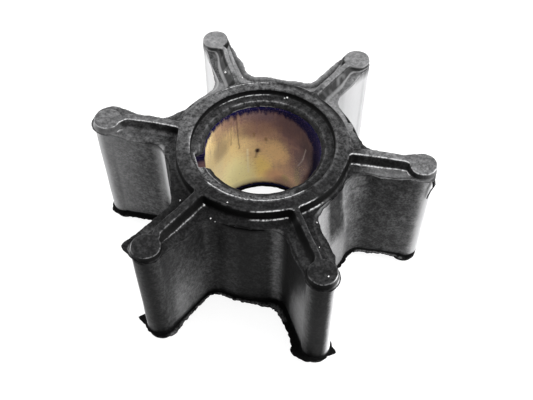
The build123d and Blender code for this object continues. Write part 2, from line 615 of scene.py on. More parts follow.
def top_dent(x, y):
    return roughen(x, y, 6.0, 0.035, 0.9) + roughen(x, y, 7.0, 0.02, 2.6)


def row_between(a, b, steps, end):
    """Points between two points of the top, without the two themselves."""
    row = []
    for step in range(1, steps):
        x, y, z = Vector(skin_points[a]).lerp(Vector(skin_points[b]), step / steps)
        sink = abs(top_dent(x, y)) * min(1.0, 3 * step * (steps - step) / steps**2)
        z += -sink if end == "upper" else sink
        row.append(add_point(x, y, z, 0.0, 0.0, 1.0))
    return row


def fill_arm(edge, number, end):
    """Fills one arm and returns its row at the root, from right to left."""
    count = len(edge)
    first = number * ARM_POINTS
    rows = []
    for place in range(RIB_ROOT, HALF_COUNT):
        right = edge[first + place]
        left = edge[(first + ARM_POINTS - place) % count]
        rows.append([right] + row_between(right, left, ACROSS, end) + [left])
    for inner, outer in zip(rows, rows[1:]):
        for i in range(ACROSS):
            skin_faces.append((inner[i], outer[i], outer[i + 1], inner[i + 1]))
    tip = edge[first + HALF_COUNT]
    for i in range(ACROSS):
        skin_faces.append((rows[-1][i], tip, rows[-1][i + 1]))
    return rows[0]


def ring_border(edge, end):
    """The closed path round the ring: its outline, and straight across the root of each rib."""
    border = []
    for number in range(ARM_COUNT):
        first = number * ARM_POINTS
        border += edge[first : first + RIB_ROOT]
        border += fill_arm(edge, number, end)
        border += edge[first + ARM_POINTS - RIB_ROOT + 1 : first + ARM_POINTS]
    return border


def angle_at(index):
    x, y, _ = skin_points[index]
    return math.atan2(y, x)


def on_circle(radius, angle):
    return radius * math.cos(angle), radius * math.sin(angle)


def fill_ring(border, end):
    """Loops from the border to the edge of the hole. Returns the last of them."""
    upper = end == "upper"
    previous = border
    for r in RING_RADII:
        share = smooth(-r, -RING_RADII[0], -RING_RADII[-1])
        loop = []
        for index in border:
            angle = angle_at(index)
            x, y = on_circle(r, angle)
            sink = abs(top_dent(x, y)) * (1 - share**4)
            line = line_on_arc("ring", angle) * (r == RING_LINE) * upper
            dark = line_on_arc("shade", angle) * (r > RING_EDGE) * upper
            loop.append(add_point(x, y, at_height(sink, end), 0.3 * (share == 1), dark, 1.0, line))
        join_loops(previous, loop)
        previous = loop
    return previous


# %% [markdown]
# ### The recess, the lip over the bush and the keyway
# Inside the ring the rubber steps down, runs level and then slopes to the bore, where it ends in a
# thin lip over the end of the bush. All of it is turned about the shaft, apart from the keyway. A
# Boolean cut would work there, but it leaves long thin triangles; pushing each loop out to the
# keyway's own outline where it would lie inside it gives the same notch in clean faces.

# %% Recess and pocket
BORE_RADIUS = 9.0
LIP_BORE = 9.12
SEAT_RADIUS = 9.75
SLOPE_RADIUS = 10.5  # inside this the recess is less round
RECESS = 0.8
KEYWAY_WIDTH = 3.2
KEYWAY_DEPTH = 1.55
KEYWAY_BEARING = math.radians(207.0)
RECESS_LEVELS = (
    # radius, depth, rubbed edge with painted glint, dirt and painted shade, how much of it is top
    # surface, kind of painted highlight
    (RING_HOLE + 0.15, 0.02, 0.2, 0.0, 1.0, "rim"),
    (RING_HOLE + 0.06, 0.06, 0.3, 0.3, 0.6, "rim"),
    (RING_HOLE + 0.01, 0.14, 0.0, 1.0, 0.0, ""),
    (RING_HOLE - 0.02, 0.40, 0.0, 0.9, 0.0, ""),
    (RING_HOLE - 0.04, 0.58, 0.0, 1.0, 0.0, ""),
    (RING_HOLE - 0.10, 0.72, 0.1, 0.8, 0.2, ""),
    (RING_HOLE - 0.18, 0.78, 0.3, 0.4, 0.5, "foot"),
    (RING_HOLE - 0.27, RECESS, 0.1, 0.5, 0.6, ""),
    (10.60, RECESS, 0.0, 0.2, 0.8, "floor"),
    (10.20, RECESS, 0.0, 0.2, 0.8, "floor"),
    (SEAT_RADIUS + 0.12, RECESS + 0.01, 0.2, 0.2, 0.8, ""),
    (SEAT_RADIUS, RECESS + 0.06, 0.5, 0.1, 0.8, "seat"),
    (SEAT_RADIUS - 0.12, RECESS + 0.20, 0.2, 0.3, 0.6, ""),
    (9.42, 1.15, 0.0, 0.2, 0.6, ""),
    (9.22, 1.38, 0.0, 0.3, 0.5, ""),
    (LIP_BORE, 1.50, 0.3, 0.4, 0.2, "lip"),
    (LIP_BORE, BUSH_INSET, 0.0, 1.0, 0.0, ""),
    (BUSH_RADIUS, BUSH_INSET, 0.0, 1.0, 0.0, ""),
)
# Below the bush the seat's lip hangs lower, so it shows under the bore's far edge.
LOWER_LIP = (
    (9.60, 0.90, 0.0, 0.8, 0.0, ""),
    (9.25, 0.96, 0.0, 1.0, 0.0, ""),
    (9.08, 1.08, 0.0, 1.0, 0.0, ""),
    (9.05, 1.30, 0.0, 1.0, 0.0, ""),
    (9.05, BUSH_INSET, 0.0, 1.0, 0.0, ""),
    (BUSH_RADIUS, BUSH_INSET, 0.0, 1.0, 0.0, ""),
)
LOWER_LEVELS = RECESS_LEVELS[:12] + LOWER_LIP
FRAYED_FROM = 214.0  # bearings between which the hole's edge is frayed and the lip leans in
FRAYED_TO = 312.0
FRAY = 0.06
LEAN = 0.2
WIDER = 0.22  # and the far side of the hole is this much wider


def keyway_reach(angle):
    """How far from the axis the keyway's outline lies in this direction."""
    off = abs((angle - KEYWAY_BEARING + math.pi) % (2 * math.pi) - math.pi)
    if off > math.pi / 4:
        return 0.0
    side = KEYWAY_WIDTH / 2 / max(1e-6, math.sin(off))
    back = (BORE_RADIUS + KEYWAY_DEPTH) / math.cos(off)
    return min(side, back)


def recess_loops(border, end, levels):
    upper = end == "upper"
    previous = fill_ring(border, end)
    for radius, depth, worn, dirt_and_shade, top, kind in levels:
        inward = smooth(radius, RING_HOLE, LIP_BORE) * (radius < SLOPE_RADIUS)
        near_edge = window(depth, 0.0, 0.2, 0.5)
        near_lip = window(radius, 9.0, 9.3, 0.3)
        loop = []
        for index in border:
            angle = angle_at(index)
            spot = (*on_circle(BORE_RADIUS, angle), depth)
            frayed = window(in_degrees(angle), FRAYED_FROM, FRAYED_TO, 8) * upper
            out = inward * roughen(*spot, 0.10, 1.4)
            out -= FRAY * (1 + roughen(*spot, 1.6, 2.2)) * frayed * near_edge
            out -= LEAN * frayed * near_lip
            out += WIDER * smooth(math.sin(angle), 0.1, 0.8) * (1 - smooth(depth, 0.5, 0.8)) * upper
            x, y = on_circle(max(radius + out, keyway_reach(angle)), angle)
            fall = depth + roughen(x, y, 4.0, 0.05, 1.5) * (0.3 < depth < 1.5)
            line = line_on_arc(kind, angle) * upper
            marks = (worn, dirt_and_shade * (1 - line), top, line)
            loop.append(add_point(x, y, at_height(fall, end), *marks))
        join_loops(previous, loop)
        previous = loop
    return previous


upper_edge = ring_border(stack[-1], "upper")
lower_edge = ring_border(stack[0], "lower")
upper_pocket = recess_loops(upper_edge, "upper", RECESS_LEVELS)
lower_pocket = recess_loops(lower_edge, "lower", LOWER_LEVELS)
join_loops(upper_pocket, lower_pocket)
print("points", len(skin_points), "faces", len(skin_faces))

# %% [markdown]
# ### Where old rubber goes grey, and where light and shade are painted
# Old rubber sweats out wax and chalk: a grey bloom on top, where hands and dust reach it, and a thinner
# film on the upright faces. Painted light goes in with them: lighter far tops and darker near ones,
# painted highlights where faces are seen at a grazing angle, and painted shade under the flash. Both
# could be painted by hand, but then they would have to be painted again after every change of shape.
# Here they are worked out for each point from where it lies.

# %% Bloom on the tops
RING_RADIUS = CROWN_STAR["core"]
NEAR_BLOOM_SHADED = 0.025  # on the near part of the ring, kept low as painted shade, and on its far part, raised as painted light
FAR_BLOOM_LIT = 0.25
LEFT_LIGHTER = 0.12  # how much lighter the ring's top is made on its left
WALL_LESS = 0.6  # and the share taken off inside the hole on the far side, a painted shade
REAR_LEDGE = 0.6  # painted light on the ledge behind the ring
# Ledges that differ from their arm's own: arm, whether it is the left one, bloom with painted light.
LEDGES = {(1, True): 0.95, (2, False): 0.95, (2, True): 0.32, (5, False): 0.10}


def arm_place(x, y):
    """Which arm a point belongs to, and where it lies along and across that arm."""
    bearing = math.atan2(y, x) % (2 * math.pi)
    number = round(bearing / (2 * HALF_STEP)) % ARM_COUNT
    along, across = turned((x, y), -number * 2 * HALF_STEP)
    return number, along, across


def bloom_and_light_at(x, y, z):
    """The top's bloom with painted light: the arm's own outside the hub, and across it a slow change
    from a darker near part to a lighter far part.
    """
    number, _, across = arm_place(x, y)
    arm = ARMS[number]
    radius = math.hypot(x, y)
    raised = smooth(z, HEIGHT - CROWN_HEIGHT + 0.3, HEIGHT - 0.3)
    ledge = LEDGES.get((number, across > 0), arm["ledge"])
    own = blend(ledge, arm["bloom_and_light"], raised)
    ring = blend(NEAR_BLOOM_SHADED, FAR_BLOOM_LIT, smooth(y, -10, 16))
    ring += REAR_LEDGE * (1 - raised) * smooth(y, 3, 9) * smooth(radius, RING_RADIUS, 14.2)
    ring += LEFT_LIGHTER * smooth(-x, 4, 11) * smooth(y, -12, -2)
    ring *= 1 - WALL_LESS * (1 - smooth(radius, 11.0, 11.3)) * smooth(y, -3, 9)
    return blend(ring, own, smooth(radius, 14.5, 18.0))


print("bloom on the near rim", round(bloom_and_light_at(0.0, -12.0, HEIGHT), 3))

# %% Film and painted light on the upright faces
# The film and painted light on the upright faces, seen from the shaft to the right and to the left of
# each arm, at six places from the root to where the end begins. The high values are painted highlights
# where the faces are seen at a grazing angle.
FACE_STOPS = (15.2, 16.4, 17.9, 19.6, 22.5, 24.5)
PLAIN_FILM = (0.10,) * len(FACE_STOPS)
RIGHT_FILM_AND_LIGHT = (
    (0.18, 0.14, 0.10, 0.09, 0.13, 0.24),
    (0.50, 0.50, 0.55, 0.65, 0.72, 0.72),
    PLAIN_FILM,
    PLAIN_FILM,
    (0.00, 0.00, 0.00, 0.05, 0.10, 0.10),
    (0.26, 0.00, 0.05, 0.26, 0.42, 0.38),
)
LEFT_FILM_AND_LIGHT = (
    PLAIN_FILM,
    PLAIN_FILM,
    (0.80, 0.80, 0.95, 1.00, 1.00, 1.00),
    (1.00, 0.42, 0.20, 0.24, 0.34, 0.42),
    (0.04, 0.12, 0.22, 0.25, 0.38, 0.14),
    (0.10, 0.10, 0.10, 0.10, 0.08, 0.08),
)
# Some of it fades with height, leaving a painted shade under the flash. Arm and side: share lost, the
# two heights between which it goes, and how much higher that happens for each millimetre along the arm.
FADES = {
    (0, "right"): (0.30, 2.0, 20.0, 0.0),
    (4, "left"): (0.85, 3.0, 20.0, 0.0),
    (5, "right"): (1.00, 9.5, 16.0, 1.6),
}
HIGHLIGHT_STREAK_ARM = 3  # the painted highlight streak at this arm's root fades towards its foot
# Round the end of each arm, from its right side over the middle to its left side. The high values are
# painted highlights, and above 1 the edge is painted nearly white.
END_BEARINGS = (-90, -45, 0, 45, 90)
END_FILM_AND_LIGHT = (
    (0.20, 0.60, 1.10, 0.30, 0.10),
    (0.75, 0.75, 0.30, 0.12, 0.10),
    (0.10, 0.12, 0.20, 0.60, 1.00),
    (0.12, 0.20, 1.00, 0.60, 0.42),
    (0.10, 1.20, 0.08, 0.00, 0.06),
    (0.22, 0.00, 0.00, 1.25, 0.20),
)
# And round the hub: bearing in degrees, film and painted light near the top and near the foot; the peaks
# are painted highlights.
HUB_FILM_AND_LIGHT = (
    (0, 0.12, 0.12), (36, 0.12, 0.12), (48, 0.45, 0.45), (54, 0.45, 0.45), (66, 0.12, 0.12),
    (122, 0.12, 0.12), (130, 0.70, 0.70), (145, 0.30, 0.30), (160, 0.12, 0.12), (205, 0.06, 0.06),
    (232, 0.00, 0.00), (255, 0.02, 0.03), (262, 0.04, 0.07), (270, 0.01, 0.01), (278, 0.02, 0.02),
    (283, 0.03, 0.03), (287, 0.08, 0.08), (291, 0.00, 0.00), (308, 0.00, 0.00), (316, 0.52, 0.46),
    (320, 0.50, 0.44), (324, 0.38, 0.46), (328, 0.04, 0.46), (332, 0.04, 0.42), (336, 0.04, 0.38),
    (339.5, 0.10, 0.36), (342.5, 0.37, 0.30), (345, 0.29, 0.22), (348, 0.20, 0.15), (360, 0.16, 0.13),
)


def film_and_light_at(x, y, z):
    """The film on the upright faces, with painted highlights and painted shade."""
    number, along, across = arm_place(x, y)
    arm = ARMS[number]
    side = "left" if across > 0 else "right"
    row = (LEFT_FILM_AND_LIGHT if side == "left" else RIGHT_FILM_AND_LIGHT)[number]
    reach = TIP_CIRCLE + arm["reach"]
    past = along - reach
    at_end = smooth(past, -0.8, 0.3)
    round_end = slide(math.degrees(math.atan2(across, past)), END_BEARINGS, END_FILM_AND_LIGHT[number])
    film = blend(slide(along, FACE_STOPS, row), round_end, at_end)
    middle_x, middle_y = turned((reach, 0.0), math.radians(arm["turn"]))
    off_wall = math.hypot(along - middle_x, across - middle_y) - TIP_RADIUS
    film *= 1 - smooth(off_wall, 0.12, 0.3) * at_end
    lost, low, high, slant = FADES.get((number, side), (0.0, 0.0, 1.0, 0.0))
    lost *= smooth(along, 15.9, 16.5) * (1 - at_end)
    film *= 1 - lost * smooth(z - slant * (along - 21), low, high)
    if (number, side) == (HIGHLIGHT_STREAK_ARM, "left"):
        film *= 1 - (1 - smooth(along, 16.0, 17.5)) * (1 - smooth(z, 4.5, 12.0))
    bearings, uppers, lowers = zip(*HUB_FILM_AND_LIGHT)
    bearing = bearing_of(x, y)
    upper, lower = slide(bearing, bearings, uppers), slide(bearing, bearings, lowers)
    hub = blend(lower, upper, smooth(z, 9.5, 13.5))
    found = blend(hub, film, smooth(along, 14.7, 15.1))
    return found * smooth(math.hypot(x, y), RING_RADIUS, 13.9) * smooth(z, 2.05, 2.35)


print("film halfway up the first arm's right face", round(film_and_light_at(20.0, -2.1, MID), 3))

# %% [markdown]
# ### From lists to a mesh
# The lists become one mesh. Its faces were collected in several directions, so a last step turns
# them all outwards. The notes on each point go in as attributes, which the material reads by name.

# %% Make the rubber skin
def make_piece(name, points, faces):
    mesh = bpy.data.meshes.new(name)
    mesh.from_pydata([metres(p) for p in points], [], faces)
    form = bmesh.new()
    form.from_mesh(mesh)
    bmesh.ops.recalc_face_normals(form, faces=form.faces)
    form.to_mesh(mesh)
    form.free()
    mesh.shade_smooth()
    piece = bpy.data.objects.new(name, mesh)
    bpy.context.scene.collection.objects.link(piece)
    return piece


def note(piece, name, values):
    layer = piece.data.attributes.new(name, "FLOAT", "POINT")
    layer.data.foreach_set("value", values)


rubber_skin = make_piece("rubber_skin", skin_points, skin_faces)
for name, values in skin_notes.items():
    note(rubber_skin, name, values)
note(rubber_skin, "bloom_and_light", [bloom_and_light_at(x, y, z) for x, y, z in skin_points])
note(rubber_skin, "film", [film_and_light_at(x, y, z) for x, y, z in skin_points])
flatten = rubber_skin.modifiers.new("even shading", "WEIGHTED_NORMAL")
flatten.keep_sharp = True
flatten.weight = 60
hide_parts("rubber_body")
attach(rubber_skin, "root")
triangles = sum(len(face) - 2 for face in skin_faces)
print("rubber skin", triangles, "triangles")

# %% [markdown]
# ## A short way to write materials
# A material in Blender is a tree of nodes. Built by hand in the node editor it is easy to see but hard
# to repeat, so here each finish is a recipe: a few lines that name the noises, the ramps and the mixes.
# This small class only saves typing. Places come from the object's own coordinates, in metres, so a
# scale of 1000 gives one feature to the millimetre.

# %% Material recipe
class Recipe:
    def __init__(self, block, output="ShaderNodeOutputMaterial"):
        """The block is a new material, or the world."""
        self.block = block
        block.use_nodes = True
        self.tree = block.node_tree
        self.tree.nodes.clear()
        self.output = self.add(output)

    def add(self, kind, inputs=None, **settings):
        node = self.tree.nodes.new(kind)
        for key, value in settings.items():
            setattr(node, key, value)
        for key, value in (inputs or {}).items():
            self.feed(node.inputs[key], value)
        return node

    def feed(self, socket, value):
        """A link when the value comes from another node, and a plain setting when it doesn't."""
        if isinstance(value, bpy.types.NodeSocket):
            self.tree.links.new(value, socket)
        elif isinstance(value, tuple) and len(value) == 3 and len(socket.default_value) == 4:
            socket.default_value = (*value, 1)
        else:
            socket.default_value = value

    def math(self, operation, first, second=0.0, clamp=False):
        node = self.add("ShaderNodeMath", {0: first, 1: second}, operation=operation, use_clamp=clamp)
        return node.outputs[0]

    def plus(self, first, second, clamp=False):
        return self.math("ADD", first, second, clamp)

    def minus(self, first, second):
        return self.math("SUBTRACT", first, second)

    def times(self, first, second, clamp=False):
        return self.math("MULTIPLY", first, second, clamp)

    def swing(self, value, size):
        """A noise that lies about 0.5, moved to lie about 0 and made larger."""
        return self.times(self.minus(value, 0.5), size)

    def less(self, value, share):
        """A value made smaller where the share is high."""
        return self.times(value, self.minus(1.0, share))

    def mixed(self, share, low, high):
        """A colour between two others. Sockets 6 and 7 are the mix node's two colours."""
        node = self.add("ShaderNodeMix", {0: share, 6: low, 7: high}, data_type="RGBA")
        return node.outputs[2]

    def paint(self, share, tint):
        """Lays one more colour over those before it, as thickly as the share says."""
        self.colour = self.mixed(share, self.colour, tint)

    def spread(self, value, low, high, to_low=0.0, to_high=1.0):
        """Slides a value from one range to another, held at both ends."""
        inputs = {0: value, 1: low, 2: high, 3: to_low, 4: to_high}
        return self.add("ShaderNodeMapRange", inputs, clamp=True).outputs[0]

    def noise(self, place, scale, detail=4.0, roughness=0.6):
        inputs = {"Vector": place, "Scale": scale, "Detail": detail, "Roughness": roughness}
        return self.add("ShaderNodeTexNoise", inputs).outputs["Fac"]

    def vector(self, operation, first, second):
        node = self.add("ShaderNodeVectorMath", {0: first, 1: second}, operation=operation)
        return node.outputs["Value" if operation in ("DOT_PRODUCT", "DISTANCE") else "Vector"]

    def flat(self, x, y):
        """A place in a plane."""
        return self.add("ShaderNodeCombineXYZ", {0: x, 1: y}).outputs[0]

    def distance_to_line(self, place, start, end):
        """How far a place lies from the straight line between two points."""
        run = Vector(end) - Vector(start)
        along = self.vector("DOT_PRODUCT", self.vector("SUBTRACT", place, start), tuple(run))
        share = self.math("DIVIDE", along, run.length_squared, clamp=True)
        offset = self.vector("MULTIPLY", self.flat(share, share), tuple(run))
        return self.vector("DISTANCE", place, self.vector("ADD", offset, start))

    def read(self, name):
        return self.add("ShaderNodeAttribute", attribute_name=name).outputs["Fac"]

    def bump(self, height, strength, distance):
        inputs = {"Height": height, "Strength": strength, "Distance": distance}
        return self.add("ShaderNodeBump", inputs).outputs["Normal"]

    def finish(self, shader):
        self.tree.links.new(shader, self.output.inputs["Surface"])
        return self.block

    def surface(self, inputs):
        """Ends a recipe with the shader that does for most materials."""
        inputs = {"Base Color": self.colour} | inputs
        return self.finish(self.add("ShaderNodeBsdfPrincipled", inputs).outputs["BSDF"])

    def place(self):
        """Where a point of the surface lies, in the object's own coordinates."""
        return self.add("ShaderNodeTexCoord").outputs["Object"]


print("recipe ready")

# %% [markdown]
# ## Rubber
# Nitrile rubber is nearly black. What shows is a grey bloom and scuffing on the tops and edges, dark
# dirt and painted shade in the hollows, and a satin surface that mirrors pale surroundings at low
# angles. Much light and shade is painted into the colour as well: painted highlights on edges, coves and
# faces seen at a grazing angle, lighter far tops, and painted shade on the walls and under the flash. A
# single dark colour would look like plastic, so the colour is mixed from the notes on the mesh and three
# sizes of noise, and the roughness and the bump follow the same noises.

# %% Rubber material
RUBBER_DARK = (0.003, 0.003, 0.0032)
RUBBER_MID = (0.007, 0.007, 0.0072)
BLOOM_AND_LIGHT_GREY = (0.30, 0.30, 0.305)
FILM_AND_LIGHT_GREY = (0.42, 0.42, 0.425)
WORN_AND_GLINT_GREY = (0.25, 0.25, 0.255)
HIGHLIGHT_GREY = (0.80, 0.80, 0.81)
SHADE_AND_DIRT_BLACK = (0.0025, 0.0025, 0.0025)


def rubber_material():
    r = Recipe(bpy.data.materials.new("moulded_rubber"))
    place = r.place()
    grain = r.noise(place, 3000.0, 2.0, 0.6)
    mottle = r.noise(place, 1200.0, 4.0, 0.65)
    cloud = r.noise(place, 300.0, 4.0, 0.6)
    slow = r.noise(place, 70.0, 2.0, 0.5)
    worn, dirt_and_shade, top, line, bloom_and_light, film = (r.read(name) for name in NOTES + ("bloom_and_light", "film"))

    r.colour = RUBBER_DARK
    r.paint(r.spread(slow, 0.35, 0.65), RUBBER_MID)
    speckle = r.plus(r.times(mottle, 0.5), r.times(grain, 0.5))
    patches = r.spread(cloud, 0.35, 0.65, 0.6, 1.25)
    dusty = r.times(r.spread(speckle, 0.40, 0.62, 0.25, 1.25), patches)
    # the film on the upright faces, with painted highlights where they are seen at a grazing angle and
    # painted shade under the flash
    upright = r.minus(1.0, top)
    evener = r.spread(film, 0.05, 0.6)
    streaked = r.plus(r.less(dusty, evener), evener)
    face_film_and_light = r.times(streaked, r.times(upright, film), clamp=True)
    r.paint(face_film_and_light, FILM_AND_LIGHT_GREY)
    # above 1 the film becomes a painted highlight, nearly white along the edges
    r.paint(r.times(upright, r.spread(film, 1.0, 1.4)), HIGHLIGHT_GREY)
    # the tops' bloom with painted light: lighter far tops and darker near ones
    calm = r.spread(bloom_and_light, 0.25, 0.6, 0.0, 0.55)
    settled = r.plus(r.less(dusty, calm), r.times(calm, 0.75))
    on_top = r.times(settled, r.times(top, bloom_and_light), clamp=True)
    r.paint(on_top, BLOOM_AND_LIGHT_GREY)
    thin = r.times(r.spread(speckle, 0.46, 0.62), 0.03)
    r.paint(thin, BLOOM_AND_LIGHT_GREY)
    # rubbed edges, lighter with painted glints where they catch the light
    broken = r.times(r.spread(mottle, 0.42, 0.58), worn)
    r.paint(r.times(broken, 0.55), WORN_AND_GLINT_GREY)
    # dirt and painted shade: the black walls, coves, hollows and underside of the flash
    r.paint(r.times(dirt_and_shade, 0.92), SHADE_AND_DIRT_BLACK)
    # painted highlights: the bright broken lines on edges, coves and rims
    broken_line = r.times(r.spread(mottle, 0.34, 0.50), r.spread(grain, 0.36, 0.56, 0.15, 1.0))
    r.paint(r.times(line, broken_line), HIGHLIGHT_GREY)

    rough = r.spread(mottle, 0.35, 0.65, 0.34, 0.46)
    rough = r.plus(rough, r.times(top, 0.12))
    rough = r.minus(rough, r.times(broken, 0.15))
    rough = r.plus(rough, r.times(dirt_and_shade, 0.15), clamp=True)

    relief = r.plus(r.times(mottle, 0.7), r.times(grain, 0.3))
    uneven = r.times(relief, r.spread(top, 0.0, 1.0, 0.35, 1.0))
    finish = {"IOR": 1.5, "Specular IOR Level": 0.03, "Sheen Weight": 0.03, "Sheen Roughness": 0.2}
    return r.surface({"Roughness": rough, "Normal": r.bump(uneven, 0.6, 0.00014)} | finish)


rubber_skin.data.materials.append(rubber_material())
print("rubber ready")

# %% [markdown]
# ## Tarnished brass
# The bush is turned brass that has run hot and wet. Its middle is still pale gold, and towards both
# rims it goes brown, mauve and then blue-black. The colours lie in rings and in streaks that run down
# from the rim, so the noises are laid out by angle and height instead of plain X, Y and Z: squeezed
# along the height, the same noise gives streaks. The angle is measured from the far side of the bore,
# so the place where it jumps from one end of its range to the other lies on the near side.

# %% Brass material
PALE_GOLD = (0.86, 0.72, 0.42)
GOLD = (0.98, 0.74, 0.34)
TAN = (0.60, 0.37, 0.23)
ROSE = (0.27, 0.155, 0.15)
MAUVE = (0.10, 0.065, 0.085)
NAVY = (0.002, 0.002, 0.030)
BUSH_TOP = HEIGHT - BUSH_INSET
BEHIND_BORE = (BORE_RADIUS + 0.08, BORE_RADIUS + 0.15)  # past these radii a point lies in the keyway
# The colours that tarnish goes through: where each begins to cover the one before, where it has, colour.
TARNISH = ((-75.0, -35.0, GOLD), (-35.0, 0.0, TAN), (0.0, 38.0, ROSE), (35.0, 60.0, MAUVE))
# angle from the far side of the bore in degrees, height, spread in degrees and in mm, colour, strength
PATCHES = (
    (-60, 20.0, 18, 2.8, (0.36, 0.21, 0.16), 0.7),
    (-12, 7.0, 12, 3.5, (1.0, 0.74, 0.24), 0.8),
    (-42, 5.0, 24, 6.5, (1.0, 0.90, 0.46), 0.9),
    (2, 11.0, 18, 3.5, (0.98, 0.68, 0.33), 0.7),
    (2, 4.6, 14, 2.2, (0.66, 0.33, 0.20), 0.6),
    (31, 6.5, 5, 3.0, (0.34, 0.29, 0.15), 0.6),
    (15, 4.6, 5, 1.2, (0.46, 0.38, 0.15), 0.6),
    (34, 9.5, 10, 4.5, (0.12, 0.09, 0.10), 0.5),
    (20, 19.0, 26, 3.0, (0.12, 0.07, 0.08), 0.7),
    (-40, 20.5, 18, 2.0, (0.20, 0.11, 0.10), 0.7),
    (-15, 20.0, 20, 2.2, (0.12, 0.085, 0.12), 0.7),
    (-20, 17.2, 24, 2.8, (0.20, 0.10, 0.08), 0.6),
    (-62, 15.5, 14, 3.0, (0.36, 0.25, 0.16), 0.6),
    (15, 3.5, 15, 1.7, (0.20, 0.12, 0.10), 0.6),
)
# scratches and stains: start and end as angle and height, half-width in mm, colour, strength
MARKS = (
    ((-39.7, 21.0), (-37.6, 12.8), 0.16, (0.12, 0.06, 0.04), 0.55),
    ((-46.0, 20.2), (-47.5, 14.7), 0.16, (0.25, 0.14, 0.08), 0.4),
    ((-28.0, 12.0), (-28.0, 5.9), 0.20, (1.0, 0.88, 0.60), 0.6),
    ((42.0, 15.4), (38.0, 12.3), 0.14, (0.45, 0.38, 0.38), 0.7),
    ((38.0, 12.3), (31.5, 9.8), 0.13, (0.40, 0.33, 0.33), 0.6),
    ((-16.8, 11.5), (-17.2, 11.1), 0.42, (0.035, 0.012, 0.010), 1.0),
    ((-17.5, 10.6), (-19.0, 9.6), 0.25, (0.20, 0.10, 0.07), 0.5),
    ((-7.4, 20.6), (-7.4, 20.2), 0.25, (0.03, 0.02, 0.05), 0.8),
    ((-7.4, 14.4), (-7.6, 14.0), 0.32, (0.25, 0.15, 0.06), 0.7),
    ((-20.4, 15.8), (-20.4, 15.0), 0.26, (0.27, 0.16, 0.07), 0.6),
    ((-41.0, 21.0), (-41.0, 20.4), 0.35, (0.03, 0.012, 0.02), 0.8),
)


def on_wall(angle, height):
    """A place on the bore's wall, unrolled: arc and height in millimetres."""
    return (math.radians(angle) * BORE_RADIUS, height, 0.0)


